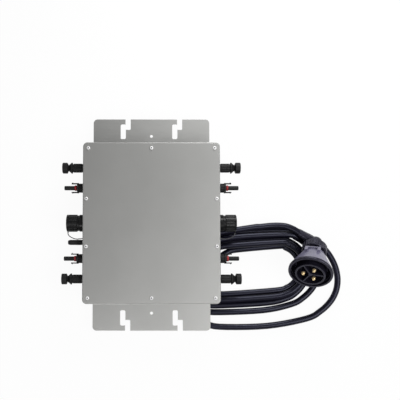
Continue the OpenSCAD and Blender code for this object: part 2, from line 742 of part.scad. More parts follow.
module cap_tether(side) { color("#58585a") on_side(side, 0) sweep(tether_points, tether_d / 2, 8); }

module tether_eyelets() {
    color("#2a2a2a") for (s = SIDES) on_side(s, -eyelet_y) {
        along_x() cylinder(1, tether_d * 1.5, tether_d * 1.5);
        translate([eyelet_x, 0, 0]) rotate([90, 0, 0]) cylinder(eyelet_len, tether_d * 0.8, tether_d * 0.8);
    }
}

// Antenna on the left wall
module antenna_base() {
    color("#2c2c2e") on_side(LEFT, -antenna_y) along_x() {
        translate([0, 0, -wall - panel_nut_t - 2])
            cylinder(wall + panel_nut_t + 2 + seal_t + eps, antenna_thread_r, antenna_thread_r);
        translate([0, 0, seal_t]) cylinder(antenna_nut_x - seal_t, antenna_nut_r, antenna_nut_r, $fn = 6);
    }
}

module antenna_sleeve() {
    color("#1a1a1c") on_side(LEFT, -antenna_y) along_x() spin([
        [0, antenna_nut_x], [antenna_r, antenna_nut_x], [antenna_r, antenna_len - 3.4],
        [antenna_r - 0.4, antenna_len - 3], [antenna_r - 0.4, antenna_len - 1.2],
        [antenna_r - 1.6, antenna_len], [0, antenna_len]]);
}

// Gland of the lead, under the right-hand side of the case
gland_nut_len = 9;
gland_nut_r = lead_r + 2.8;
elbow_r = lead_r + 0.8;
elbow_thread_r = lead_r - 1.3;
elbow_stub = 3;
elbow_flange_r = elbow_r + 2.7;
elbow_at = gland_mouth - (gland_nut_len + elbow_stub) * coil_start_way;
elbow_nut_r = min(elbow_thread_r + 2.6, wall_x - wall - elbow_at.x - 2 * fit);
gland_heading = atan2(coil_start_way.y, coil_start_way.x);

module along_gland() { translate(elbow_at) rotate([0, 90, gland_heading]) children(); }

module lead_elbow() {
    color("#222224") {
        difference() {
            union() {
                along_gland() cylinder(elbow_stub + 1, elbow_r - 0.5, elbow_r - 0.5);
                translate(elbow_at) sphere(elbow_r);
                translate(elbow_at) cylinder(case_z - 1 - elbow_at.z, elbow_r - 0.25, elbow_r - 0.25);
            }
            along_gland() translate([-gland_nut_r - fit, -2 * elbow_r, elbow_stub])
                cube([2 * (gland_nut_r + fit), 4 * elbow_r, gland_nut_len]);
        }
        translate([elbow_at.x, elbow_at.y, case_z - 2]) cylinder(2, elbow_flange_r, elbow_flange_r);
        translate([elbow_at.x, elbow_at.y, case_z - 1])
            cylinder(floor_t + panel_nut_t + 2, elbow_thread_r, elbow_thread_r);
    }
}

module lead_gland_nut() {
    color("#2a2a2c") along_gland() translate([0, 0, elbow_stub]) {
        cylinder(gland_nut_len * 0.7, gland_nut_r, gland_nut_r, $fn = 6);
        cylinder(gland_nut_len, gland_nut_r * 0.8, gland_nut_r * 0.8);
    }
}

// AC lead
module ac_lead_coil() { color("#1b1c22") sweep(coil_points, lead_r, tube_sides); }

module ac_lead_tail() { color("#1b1c22") sweep(tail_points, lead_r, 8); }

// Coupler on the end of the lead
module coupler_body() {
    color("#2b2a32") {
        at_coupler() {
            translate([0, 0, dome_u]) sphere(dome_r);
            translate([0, 0, dome_u]) cylinder(-dome_u - coupler_nut_len / 2, dome_r, dome_r);
            translate([0, 0, -coupler_nut_len / 2])
                cylinder(insert_back + coupler_nut_len / 2, neck_r, neck_r);
        }
        difference() {
            translate(outlet_from) rotate([0, acos(outlet_axis.z / norm(outlet_axis)), outlet_heading])
                cylinder(outlet_len, outlet_r, lead_r + 1);
            at_coupler() translate([0, 0, -coupler_nut_len / 2])
                cylinder(outlet_len, 2 * outlet_len, 2 * outlet_len);
        }
    }
}

module coupler_nut() {
    color("#26252c") at_coupler() difference() {
        spin([[neck_r, -coupler_nut_len / 2], [coupler_nut_r - 1.5, -coupler_nut_len / 2],
            [coupler_nut_r, 1.5 - coupler_nut_len / 2], [coupler_nut_r, coupler_nut_len / 2 - 1.5],
            [coupler_nut_r - 1.5, coupler_nut_len / 2], [neck_r, coupler_nut_len / 2]]);
        for (k = [0 : 23]) rotate(15 * k) translate([coupler_nut_r + 0.6, 0, -coupler_nut_len])
            cylinder(2 * coupler_nut_len, 1.2, 1.2, $fn = 16);
    }
}

module bell_tab() {
    bar = 5;
    rotate(tab_turn) translate([-bell_back_r, 0, bell_back + 1]) rotate([0, -bell_slope, 0]) {
        for (s = SIDES) translate([-2.6, s * (tab_w - bar) / 2 - bar / 2, 0]) cube([5.6, bar, 15]);
        translate([-2.6, -tab_w / 2, 0]) cube([5.6, tab_w, 4]);
    }
}

module coupler_bell() {
    hole_r = neck_r + 2 * fit;
    color("#5f5c69") at_coupler() difference() {
        union() {
            spin([[hole_r, bell_back], [bell_back_r, bell_back], [rim_r, rim_u - rim_band],
                [rim_r, rim_u - 0.8], [rim_r - 0.8, rim_u], [rim_r - bell_wall, rim_u],
                [rim_r - bell_wall - 0.5, rim_u - 6],
                [hole_r + 1.1, bell_back + 4], [hole_r, bell_back + 4]]);
            bell_tab();
            translate([bell_back_r, -6, foot_u]) cube([foot_reach - bell_back_r, 12, 10]);
        }
        translate([0, 0, bell_back + 4]) cylinder(rim_u, hole_r + 1.1, hole_r + 1.1);
        translate([0, 0, bell_back - 4]) cylinder(rim_u, hole_r, hole_r);
    }
}

module coupler_insert() {
    rib_t = 2;
    rib_h = insert_front - insert_floor - 0.5;
    color("#34323c") at_coupler() difference() {
        translate([0, 0, insert_back]) cylinder(insert_front - insert_back, insert_r, insert_r);
        difference() {
            translate([0, 0, insert_floor]) cylinder(insert_front, insert_r - 3, insert_r - 3);
            translate([0, 0, insert_floor - 1]) linear_extrude(rib_h + 1) {
                circle(1.5 * rib_t);
                for (k = [0 : 2]) rotate(pin_turn + 60 + 120 * k) translate([0, -rib_t / 2])
                    square([insert_r, rib_t]);
            }
        }
        for (k = [0 : 2]) rotate(pin_turn + 120 * k) translate([pin_circle_r, 0, insert_floor - 5])
            cylinder(7, pin_r + fit / 2, pin_r + fit / 2);
    }
}

module coupler_pins() {
    pin_len = insert_front - insert_floor + 6;
    color("goldenrod") at_coupler() for (k = [0 : 2]) rotate(pin_turn + 120 * k)
        translate([pin_circle_r, 0, insert_floor - 5])
            spin([[0, 0], [pin_r, 0], [pin_r, pin_len - 2], [pin_r - 1.2, pin_len], [0, pin_len]]);
}

// Electronics inside the case
board_z = floor_z + 6;
board_t = 1.6;
board_w = tray_w - 40;
board_l = tray_l - 50;
part_z = board_z + board_t;
part_room = rim_z - part_z - 2;
core_w = 32;
core_l = 30;
core_h = part_room * 0.8;
winding_w = core_w + 8;
winding_l = core_l - 8;
winding_h = part_room * 0.5;
can_r = 8;
can_h = part_room * 0.9;
transistor_w = 5;
transistor_l = 16;
transistor_h = part_room * 0.7;
standoff_places = [for (x = [-0.46, 0.46], y = [-0.46, 0, 0.46]) [x * board_w, y * board_l]];

module main_board() {
    color("darkgreen") difference() {
        translate([-board_w / 2, -board_l / 2, board_z]) cube([board_w, board_l, board_t]);
        for (p = standoff_places) translate([p.x, p.y, board_z - 1])
            cylinder(board_t + 2, 1.6 + fit, 1.6 + fit);
    }
}

module board_standoffs() {
    color("gold") for (p = standoff_places) translate([p.x, p.y, 0]) {
        translate([0, 0, floor_z]) cylinder(board_z - floor_z, 3, 3);
        translate([0, 0, floor_z]) cylinder(part_z - floor_z + 1.5, 1.6, 1.6);
        translate([0, 0, part_z]) cylinder(1.5, 2.8, 2.8);
    }
}

module transformers() {
    color("dimgray") for (y = [-0.3, -0.1, 0.1, 0.3]) translate([-board_w * 0.18, y * board_l, part_z]) {
        translate([-core_w / 2, -core_l / 2, 0]) cube([core_w, core_l, core_h]);
        translate([-winding_w / 2, -winding_l / 2, (core_h - winding_h) / 2])
            cube([winding_w, winding_l, winding_h]);
    }
}

module capacitors() {
    color("midnightblue") for (y = [-0.35, -0.25, -0.15, 0.15, 0.25, 0.35])
        translate([board_w * 0.22, y * board_l, part_z]) cylinder(can_h, can_r, can_r);
}

module power_transistors() {
    color("black") for (s = SIDES, y = [-0.36, -0.12, 0.12, 0.36])
        translate([s * board_w * 0.38 - transistor_w / 2, y * board_l - transistor_l / 2, part_z])
            cube([transistor_w, transistor_l, transistor_h]);
}

heat_sink();
heat_sink_screws();
case_tray();
cover_gasket();
cover_plate();
cover_screws();
bracket(UPPER);  // bracket_top
bracket(LOWER);  // bracket_bottom
bracket_rivets();
dc_socket(LEFT, UPPER);  // dc_socket_left_upper
dc_socket(LEFT, LOWER);  // dc_socket_left_lower
dc_socket(RIGHT, UPPER);  // dc_socket_right_upper
dc_socket(RIGHT, LOWER);  // dc_socket_right_lower
dc_plug(LEFT, UPPER);  // dc_plug_left_upper
dc_plug(LEFT, LOWER);  // dc_plug_left_lower
dc_plug(RIGHT, UPPER);  // dc_plug_right_upper
dc_plug(RIGHT, LOWER);  // dc_plug_right_lower
dc_latch(LEFT, UPPER, UPPER);  // dc_latch_left_upper_a
dc_latch(LEFT, UPPER, LOWER);  // dc_latch_left_upper_b
dc_latch(LEFT, LOWER, UPPER);  // dc_latch_left_lower_a
dc_latch(LEFT, LOWER, LOWER);  // dc_latch_left_lower_b
dc_latch(RIGHT, UPPER, UPPER);  // dc_latch_right_upper_a
dc_latch(RIGHT, UPPER, LOWER);  // dc_latch_right_upper_b
dc_latch(RIGHT, LOWER, UPPER);  // dc_latch_right_lower_a
dc_latch(RIGHT, LOWER, LOWER);  // dc_latch_right_lower_b
dc_seal_rings();
dc_contacts();
panel_seals();
panel_nuts();
ac_port(LEFT);  // ac_port_left
ac_port(RIGHT);  // ac_port_right
ac_cap(LEFT);  // ac_cap_left
ac_cap(RIGHT);  // ac_cap_right
cap_seal(LEFT);  // cap_seal_left
cap_seal(RIGHT);  // cap_seal_right
cap_ring(LEFT);  // cap_ring_left
cap_ring(RIGHT);  // cap_ring_right
cap_tether(LEFT);  // cap_tether_left
cap_tether(RIGHT);  // cap_tether_right
tether_eyelets();
antenna_base();
antenna_sleeve();
lead_elbow();
lead_gland_nut();
ac_lead_coil();
ac_lead_tail();
coupler_body();
coupler_nut();
coupler_bell();
coupler_insert();
coupler_pins();
main_board();
board_standoffs();
transformers();
capacitors();
power_transistors();
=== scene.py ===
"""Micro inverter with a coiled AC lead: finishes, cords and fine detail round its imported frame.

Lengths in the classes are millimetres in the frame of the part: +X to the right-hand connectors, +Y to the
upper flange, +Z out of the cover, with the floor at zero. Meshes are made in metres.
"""

from __future__ import annotations

import json
import logging
import math
from dataclasses import dataclass, field
from enum import Enum
from typing import Any, Callable, Mapping, Sequence

import bmesh
import bpy
from mathutils import Matrix, Vector

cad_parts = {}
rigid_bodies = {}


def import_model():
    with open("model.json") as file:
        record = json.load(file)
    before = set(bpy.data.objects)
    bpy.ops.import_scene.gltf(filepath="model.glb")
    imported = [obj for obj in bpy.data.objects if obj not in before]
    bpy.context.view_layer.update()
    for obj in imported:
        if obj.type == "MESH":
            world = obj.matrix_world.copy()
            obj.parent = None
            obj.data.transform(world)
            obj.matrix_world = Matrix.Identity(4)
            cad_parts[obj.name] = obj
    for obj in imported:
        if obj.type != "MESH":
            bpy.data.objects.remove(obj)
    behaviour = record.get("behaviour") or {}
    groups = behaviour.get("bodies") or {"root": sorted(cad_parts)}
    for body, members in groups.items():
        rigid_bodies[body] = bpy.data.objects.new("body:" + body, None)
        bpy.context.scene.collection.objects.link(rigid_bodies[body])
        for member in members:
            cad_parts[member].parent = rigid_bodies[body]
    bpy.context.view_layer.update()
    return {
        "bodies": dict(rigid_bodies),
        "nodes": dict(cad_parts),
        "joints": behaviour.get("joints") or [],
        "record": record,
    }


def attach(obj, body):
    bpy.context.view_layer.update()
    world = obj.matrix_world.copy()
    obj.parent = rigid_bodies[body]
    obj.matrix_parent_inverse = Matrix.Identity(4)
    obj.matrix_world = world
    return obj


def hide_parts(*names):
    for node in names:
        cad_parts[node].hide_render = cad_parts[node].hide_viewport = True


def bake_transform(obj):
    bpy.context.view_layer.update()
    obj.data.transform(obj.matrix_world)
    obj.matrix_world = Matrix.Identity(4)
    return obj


LOG = logging.getLogger("micro_inverter")
MM = 0.001
SHARP_DEG = 40.0
# Spans of the noise and of the edge's turn that the finishes spread over their full change.
PATCH_SPAN = (0.35, 0.65)
GRAIN_SPAN = (0.3, 0.7)
EDGE_SPAN = (0.99, 0.86)

Nodes = Mapping[str, bpy.types.Object]


class Side(Enum):
    """The two connector walls of the case, by the sign of X."""

    LEFT = -1
    RIGHT = 1

    @property
    def word(self) -> str:
        """The side's name in node and body names."""
        return self.name.lower()


class Row(Enum):
    """The two rows of DC connectors, by the sign of Y."""

    LOWER = -1
    UPPER = 1

    @property
    def word(self) -> str:
        """The row's name in node names."""
        return self.name.lower()


# ---------------------------------------------------------------- node and mesh helpers


def linear(colour: str) -> tuple[float, float, float, float]:
    """Turn an sRGB colour to linear light.

    Args:
        colour: Hex colour such as "#a0a09e".

    Returns:
        Linear red, green and blue with full alpha.
    """
    parts = [int(colour[i : i + 2], 16) / 255 for i in (1, 3, 5)]
    bright = [p / 12.92 if p <= 0.04045 else ((p + 0.055) / 1.055) ** 2.4 for p in parts]
    return (bright[0], bright[1], bright[2], 1.0)


def add_node(
    tree: bpy.types.NodeTree,
    kind: str,
    inputs: Mapping[Any, Any] | None = None,
    **settings: Any,
) -> bpy.types.Node:
    """Add a node with its settings, input values and links.

    Args:
        tree: Node tree that takes the node.
        kind: Blender's name of the node type, without the ShaderNode prefix.
        inputs: Values by input name or number; an output socket is linked.
        **settings: Properties of the node itself.

    Returns:
        The new node.
    """
    node = tree.nodes.new("ShaderNode" + kind)
    for key, value in settings.items():
        setattr(node, key, value)
    for key, value in (inputs or {}).items():
        if isinstance(value, bpy.types.NodeSocket):
            tree.links.new(value, node.inputs[key])
        else:
            node.inputs[key].default_value = value
    return node


def mesh_object(name: str, bm: bmesh.types.BMesh, smooth: bool = True) -> bpy.types.Object:
    """Turn a bmesh in millimetres to an object in metres, with its faces outwards.

    Args:
        name: Piece name.
        bm: Mesh, which is freed.
        smooth: Whether faces are shaded smooth, with sharp edges kept.

    Returns:
        The linked object.
    """
    bmesh.ops.recalc_face_normals(bm, faces=bm.faces)
    bmesh.ops.scale(bm, vec=(MM, MM, MM), verts=bm.verts)
    mesh = bpy.data.meshes.new(name)
    bm.to_mesh(mesh)
    bm.free()
    if smooth:
        mesh.shade_smooth()
        mesh.set_sharp_from_angle(angle=math.radians(SHARP_DEG))
    made = bpy.data.objects.new(name, mesh)
    bpy.context.scene.collection.objects.link(made)
    return made


def add_rings(bm: bmesh.types.BMesh, rings: Sequence[Sequence[Vector]], closed: bool = False) -> None:
    """Skin a row of equal rings with quads.

    Args:
        bm: Mesh that takes the faces.
        rings: Rings of points, each with as many points as the next.
        closed: Whether the last ring joins the first; otherwise both ends are capped.
    """
    made = [[bm.verts.new(p) for p in ring] for ring in rings]
    sides = len(made[0])
    for i in range(len(made) if closed else len(made) - 1):
        here, there = made[i], made[(i + 1) % len(made)]
        for k in range(sides):
            bm.faces.new((here[k], here[(k + 1) % sides], there[(k + 1) % sides], there[k]))
    if not closed:
        bm.faces.new(made[0])
        bm.faces.new(made[-1])


def smooth_path(points: Sequence[Vector], cuts: int) -> list[Vector]:
    """Run a smooth curve through points.

    Args:
        points: Points that the curve passes.
        cuts: Steps between two points.

    Returns:
        Points along the curve, both ends included.
    """
    ends = [2 * points[0] - points[1], *points, 2 * points[-1] - points[-2]]
    path: list[Vector] = []
    for a, b, c, d in zip(ends, ends[1:], ends[2:], ends[3:]):
        for i in range(cuts):
            t = i / cuts
            bend, twist = 2 * a - 5 * b + 4 * c - d, 3 * b - a - 3 * c + d
            path.append(0.5 * (2 * b + (c - a) * t + bend * t**2 + twist * t**3))
    path.append(points[-1].copy())
    return path


def tube(
    name: str, path: Sequence[Vector], radius: float | Callable[[float], float], sides: int
) -> bpy.types.Object:
    """Sweep a round section along a path, with closed ends.

    Args:
        name: Piece name.
        path: Centreline.
        radius: Radius, or a function that gives it from the share of the path behind.
        sides: Points round the section.

    Returns:
        The tube.
    """
    size = radius if callable(radius) else (lambda _: radius)
    bm = bmesh.new()
    side: Vector | None = None
    rings = []
    for i, point in enumerate(path):
        way = (path[min(i + 1, len(path) - 1)] - path[max(i - 1, 0)]).normalized()
        across = way.cross(Vector((0, 0, 1))) if side is None else side - way * side.dot(way)
        side = across.normalized()
        up = side.cross(way)
        r = size(i / (len(path) - 1))
        turns = [2 * math.pi * k / sides for k in range(sides)]
        rings.append([point + r * (math.cos(a) * side + math.sin(a) * up) for a in turns])
    add_rings(bm, rings)
    return mesh_object(name, bm)


def lathe(
    name: str, profile: Sequence[tuple[float, float]], place: Matrix, sides: int = 96
) -> bpy.types.Object:
    """Turn a closed profile about the local Z axis.

    Args:
        name: Piece name.
        profile: Radius and height of the section's corners, in order round it.
        place: Where the axis lies.
        sides: Steps round the axis.

    Returns:
        The turned ring.
    """
    bm = bmesh.new()
    rings = []
    for k in range(sides):
        a = 2 * math.pi * k / sides
        rings.append([place @ Vector((r * math.cos(a), r * math.sin(a), z)) for r, z in profile])
    add_rings(bm, rings, closed=True)
    return mesh_object(name, bm)


@dataclass(frozen=True)
class GripRibs:
    """Rounded ribs along a barrel, which run out at both ends."""

    radius: float
    start: float
    end: float
    count: int
    width: float
    height: float
    root: float = 0.4
    turn: float = 0.0
    run_out: float = 1.2

    def build(self, name: str, place: Matrix) -> bpy.types.Object:
        """Make the ribs.

        Args:
            name: Piece name.
            place: Barrel's axis as local Z, from its foot.

        Returns:
            All ribs as one mesh.
        """
        bm = bmesh.new()
        run = min(self.run_out, (self.end - self.start) / 4)
        stations = [(self.start, 0.1), (self.start + run / 2, 0.8), (self.start + run, 1.0)]
        stations += [(self.end - run, 1.0), (self.end - run / 2, 0.8), (self.end, 0.1)]
        for k in range(self.count):
            spin = Matrix.Rotation(math.radians(self.turn) + 2 * math.pi * k / self.count, 4, "Z")
            rings = []
            for along, share in stations:
                arc = [math.pi * i / 6 for i in range(7)]
                rise, half = self.height * share, self.width / 2
                tops = [(self.radius + rise * math.sin(a), half * math.cos(a)) for a in arc]
                low = [(self.radius - self.root, -half), (self.radius - self.root, half)]
                rings.append([place @ spin @ Vector((r, w, along)) for r, w in tops + low])
            add_rings(bm, rings)
        return mesh_object(name, bm)


# ---------------------------------------------------------------- finishes


@dataclass(frozen=True)
class Finish:
    """A surface of one real material, as the shader's values and real pattern sizes.

    The grain is the fine relief left by how the surface was made. Patches are the slow changes of tone
    from handling and batch. Edges take a lighter colour over a bevel mask: part wear, part painted highlight
    where rims and bevels would catch the light. The gloss is the tint of what the surface mirrors.
    """

    name: str
    colour: str
    patch: str
    worn: str
    metallic: float = 0.0
    roughness: float = 0.5
    rough_spread: float = 0.1
    ior: float = 1.5
    gloss: str = "#ffffff"
    patch_mm: float = 30.0
    grain_mm: float = 0.8
    grain_depth_mm: float = 0.02
    grain_stretch: tuple[float, float, float] = (1.0, 1.0, 1.0)
    edge_mm: float = 0.4
    wear: float = 0.5

    def material(self) -> bpy.types.Material:
        """Make the node material, or give the one already made.

        Returns:
            The material.
        """
        known = bpy.data.materials.get(self.name)
        if known:
            return known
        made = bpy.data.materials.new(self.name)
        made.use_nodes = True
        tree = made.node_tree
        shader = tree.nodes["Principled BSDF"]
        shader.inputs["Metallic"].default_value = self.metallic
        if self.metallic < 0.5:
            shader.inputs["IOR"].default_value = self.ior
            shader.inputs["Specular Tint"].default_value = linear(self.gloss)
        place = add_node(tree, "TexCoord").outputs["Object"]
        patches = add_node(
            tree,
            "TexNoise",
            {"Vector": place, "Scale": 1 / (self.patch_mm * MM), "Detail": 3.0},
        )
        laid = add_node(tree, "Mapping", {"Vector": place, "Scale": self.grain_stretch}, vector_type="POINT")
        grain = add_node(
            tree,
            "TexNoise",
            {"Vector": laid.outputs[0], "Scale": 1 / (self.grain_mm * MM), "Detail": 2.0, "Roughness": 0.6},
        )
        tone = add_node(
            tree,
            "MapRange",
            {"Value": patches.outputs[0], "From Min": PATCH_SPAN[0], "From Max": PATCH_SPAN[1]},
        )
        tint = add_node(
            tree,
            "Mix",
            {0: tone.outputs[0], 6: linear(self.colour), 7: linear(self.patch)},
            data_type="RGBA",
        )
        rounded = add_node(tree, "Bevel", {"Radius": self.edge_mm * MM}, samples=6)
        flat = add_node(tree, "NewGeometry")
        turned = add_node(
            tree,
            "VectorMath",
            {0: rounded.outputs[0], 1: flat.outputs["Normal"]},
            operation="DOT_PRODUCT",
        )
        edge = add_node(
            tree,
            "MapRange",
            {
                "Value": turned.outputs["Value"],
                "From Min": EDGE_SPAN[0],
                "From Max": EDGE_SPAN[1],
                "To Min": 0.0,
                "To Max": self.wear,
            },
        )
        # Edge mask times patches: where edges take the lighter colour, part wear and part painted highlight.
        edge_wear_and_highlight_mask = add_node(
            tree, "Math", {0: edge.outputs[0], 1: patches.outputs[0]}, operation="MULTIPLY"
        )
        worn = add_node(
            tree,
            "Mix",
            {0: edge_wear_and_highlight_mask.outputs[0], 6: tint.outputs[2], 7: linear(self.worn)},
            data_type="RGBA",
        )
        rough = add_node(
            tree,
            "MapRange",
            {
                "Value": grain.outputs[0],
                "From Min": GRAIN_SPAN[0],
                "From Max": GRAIN_SPAN[1],
                "To Min": self.roughness - self.rough_spread,
                "To Max": self.roughness + self.rough_spread,
            },
        )
        relief = add_node(
            tree,
            "Bump",
            {
                "Height": grain.outputs[0],
                "Strength": 1.0,
                "Distance": self.grain_depth_mm * MM,
                "Normal": rounded.outputs[0],
            },
        )
        tree.links.new(worn.outputs[2], shader.inputs["Base Color"])
        tree.links.new(rough.outputs[0], shader.inputs["Roughness"])
        tree.links.new(relief.outputs[0], shader.inputs["Normal"])
        return made

    def put_on(self, obj: bpy.types.Object) -> None:
        """Give the finish to every material slot of an object."""
        if not obj.material_slots:
            obj.data.materials.append(None)
        for slot in obj.material_slots:
            slot.material = self.material()


# Bead-blasted, clear-anodised sheet: even satin grey. The 0.1 mm pits are drawn at 1 mm, to show.
# Its near-white edge colour, strong over a 0.9 mm bevel, is a painted highlight along the cover's rim.
COVER_ALUMINIUM = Finish(
    "anodised_aluminium_cover", "#b2b2b0", "#adadab", "#e4e4e2", metallic=0.85, roughness=0.46,
    rough_spread=0.03, patch_mm=90, grain_mm=1.0, grain_depth_mm=0.004, edge_mm=0.9, wear=1.3,
)
# Pressed aluminium tray, anodised like the cover, with a fainter sheen.
CASE_ALUMINIUM = Finish(
    "anodised_aluminium_tray", "#a4a4a3", "#9b9b9a", "#cfcfce", metallic=0.85, roughness=0.5,
    rough_spread=0.05, patch_mm=60, grain_mm=1.2, grain_depth_mm=0.006, edge_mm=0.6, wear=0.9,
)
# Folded mill-finish sheet: fine rolling lines along the bend, 0.3 mm apart, drawn at 0.9 mm.
FLANGE_ALUMINIUM = Finish(
    "mill_finish_aluminium", "#b6b6b4", "#b2b2b0", "#e6e6e4", metallic=0.9, roughness=0.44,
    rough_spread=0.03, patch_mm=70, grain_mm=0.9, grain_depth_mm=0.006,
    grain_stretch=(0.03, 1.0, 1.0), edge_mm=0.5, wear=1.1,
)
# Extruded profile: die lines run the length of the fins.
SINK_ALUMINIUM = Finish(
    "extruded_aluminium", "#a9aaab", "#9b9c9d", "#d6d7d8", metallic=0.9, roughness=0.4,
    rough_spread=0.08, patch_mm=50, grain_mm=0.7, grain_depth_mm=0.012,
    grain_stretch=(1.0, 0.02, 1.0), edge_mm=0.4, wear=0.8,
)
# Zinc over steel, drawn near-white with little metal: the pale colour is a painted reflection of the white
# room on the heads, a little blue, with sharp glints.
ZINC_STEEL_PAINTED_REFLECTION = Finish(
    "zinc_plated_steel", "#ffffff", "#f8f8f9", "#ffffff", metallic=0.05, roughness=0.32,
    rough_spread=0.08, patch_mm=4, grain_mm=0.3, grain_depth_mm=0.008, edge_mm=0.25, wear=0.6,
)
# Painted shade at the foot of the screws' sockets: near-black discs where the hollows fall dark.
SOCKET_PAINTED_SHADE = Finish(
    "blackened_steel", "#1c1c1d", "#262627", "#3a3a3b", roughness=0.6, ior=1.5,
    patch_mm=2, grain_mm=0.3, grain_depth_mm=0.01, edge_mm=0.1, wear=0.2,
)
# Glass-filled nylon, moulded in a spark-eroded tool: black with a grey bloom.
DC_NYLON = Finish(
    "moulded_black_nylon", "#121213", "#171718", "#303032", roughness=0.55, ior=1.36,
    patch_mm=9, grain_mm=0.5, grain_depth_mm=0.03, edge_mm=0.5, wear=0.7,
)
# Glass-filled nylon of the caps and ports, from a smoother tool: the ribs catch thin glints.
CAP_NYLON = Finish(
    "moulded_dark_nylon", "#0a0a0b", "#101011", "#3c3c3d", roughness=0.34, ior=1.37,
    patch_mm=10, grain_mm=0.6, grain_depth_mm=0.035, edge_mm=0.5, wear=0.7,
)
# Nuts and inner fittings in natural grey nylon.
GREY_NYLON = Finish(
    "moulded_grey_nylon", "#6d6d70", "#646467", "#8a8a8d", roughness=0.55, ior=1.53,
    patch_mm=12, grain_mm=0.6, grain_depth_mm=0.03, edge_mm=0.4, wear=0.5,
)
# Compression-moulded EPDM: matt black with a dusty bloom.
BLACK_RUBBER = Finish(
    "epdm_rubber", "#171718", "#202021", "#2c2c2d", roughness=0.75, ior=1.52,
    patch_mm=8, grain_mm=0.7, grain_depth_mm=0.02, edge_mm=0.3, wear=0.4,
)
# Moulded silicone seal in brick red.
RED_SILICONE = Finish(
    "red_silicone_rubber", "#a02428", "#8d1d22", "#b8484a", roughness=0.45, ior=1.43,
    patch_mm=5, grain_mm=0.5, grain_depth_mm=0.01, edge_mm=0.3, wear=0.4,
)
# Soft moulded TPE of the tethers, grey with a faint gloss.
TETHER_TPE = Finish(
    "grey_tpe", "#5a5a5c", "#4c4c4e", "#707072", roughness=0.5, ior=1.5,
    patch_mm=6, grain_mm=0.4, grain_depth_mm=0.01, edge_mm=0.2, wear=0.3,
)
# Extruded PVC sheath: blue-black, with a cool waxy gloss and faint waves from the die, 6 mm apart.
PVC_SHEATH = Finish(
    "black_pvc_sheath", "#0e0d17", "#14121f", "#2c2b38", roughness=0.32, rough_spread=0.03, ior=1.4,
    gloss="#e1e5ff", patch_mm=45, grain_mm=6.0, grain_depth_mm=0.01, edge_mm=0.2, wear=0.2,
)
# Coupler shell in polycarbonate blend: lavender grey where light grazes the moulded satin.
SHELL_POLYCARBONATE = Finish(
    "satin_polycarbonate_shell", "#726f86", "#68667a", "#9a98a8", roughness=0.3, rough_spread=0.05,
    ior=1.58, patch_mm=14, grain_mm=0.8, grain_depth_mm=0.02, edge_mm=0.6, wear=0.8,
)
# Dark polycarbonate of the coupler's nut, back shell and insert: blue-black satin. On the lining of the
# bell's mouth and on the pins' shanks, this dark colour is painted shade.
DARK_POLYCARBONATE_AND_PAINTED_SHADE = Finish(
    "moulded_dark_polycarbonate", "#17151f", "#1e1c27", "#4c4a57", roughness=0.34, ior=1.5,
    gloss="#e6e6ff", patch_mm=12, grain_mm=0.7, grain_depth_mm=0.012, edge_mm=0.7, wear=0.9,
)
# Turned brass, bright from the tool.
TURNED_BRASS = Finish(
    "turned_brass", "#f4dcae", "#e9cb92", "#fff0cf", metallic=0.6, roughness=0.28,
    rough_spread=0.06, patch_mm=3, grain_mm=0.3, grain_depth_mm=0.004, edge_mm=0.4, wear=0.6,
)
# Woven glass laminate under green solder mask.
BOARD_LAMINATE = Finish(
    "glass_epoxy_laminate", "#1f5a35", "#1a4d2d", "#3c7a52", roughness=0.4, ior=1.5,
    patch_mm=12, grain_mm=0.8, grain_depth_mm=0.01, edge_mm=0.2, wear=0.3,
)
# Pressed and sintered ferrite: charcoal, matt.
FERRITE = Finish(
    "sintered_ferrite", "#37373a", "#424246", "#5a5a5e", roughness=0.7, ior=1.6,
    patch_mm=8, grain_mm=0.6, grain_depth_mm=0.03, edge_mm=0.4, wear=0.5,
)
# Shrunk PET sleeve on the capacitors, dark blue.
CAPACITOR_SLEEVE = Finish(
    "shrunk_pet_sleeve", "#1d2547", "#232c52", "#3a4468", roughness=0.35, ior=1.57,
    patch_mm=10, grain_mm=1.0, grain_depth_mm=0.01, edge_mm=0.3, wear=0.3,
)
# Transfer-moulded epoxy of the transistors.
EPOXY = Finish(
    "moulded_epoxy", "#19191b", "#212123", "#343437", roughness=0.6, ior=1.55,
    patch_mm=6, grain_mm=0.4, grain_depth_mm=0.02, edge_mm=0.3, wear=0.4,
)


# ---------------------------------------------------------------- studio


@dataclass(frozen=True)
class Softbox:
    """A square area lamp and what it points at."""

    name: str
    at: tuple[float, float, float]
    aim: tuple[float, float, float]
    size: float
    watts: float

    def build(self) -> bpy.types.Object:
        """Make the lamp.

        Returns:
            The lamp's object.
        """
        lamp = bpy.data.lights.new(self.name, "AREA")
        lamp.shape = "SQUARE"
        lamp.size = self.size * MM
        lamp.energy = self.watts
        made = bpy.data.objects.new(self.name, lamp)
        made.location = Vector(self.at) * MM
        made.rotation_euler = (Vector(self.aim) - Vector(self.at)).to_track_quat("-Z", "Y").to_euler()
        bpy.context.scene.collection.objects.link(made)
        return made


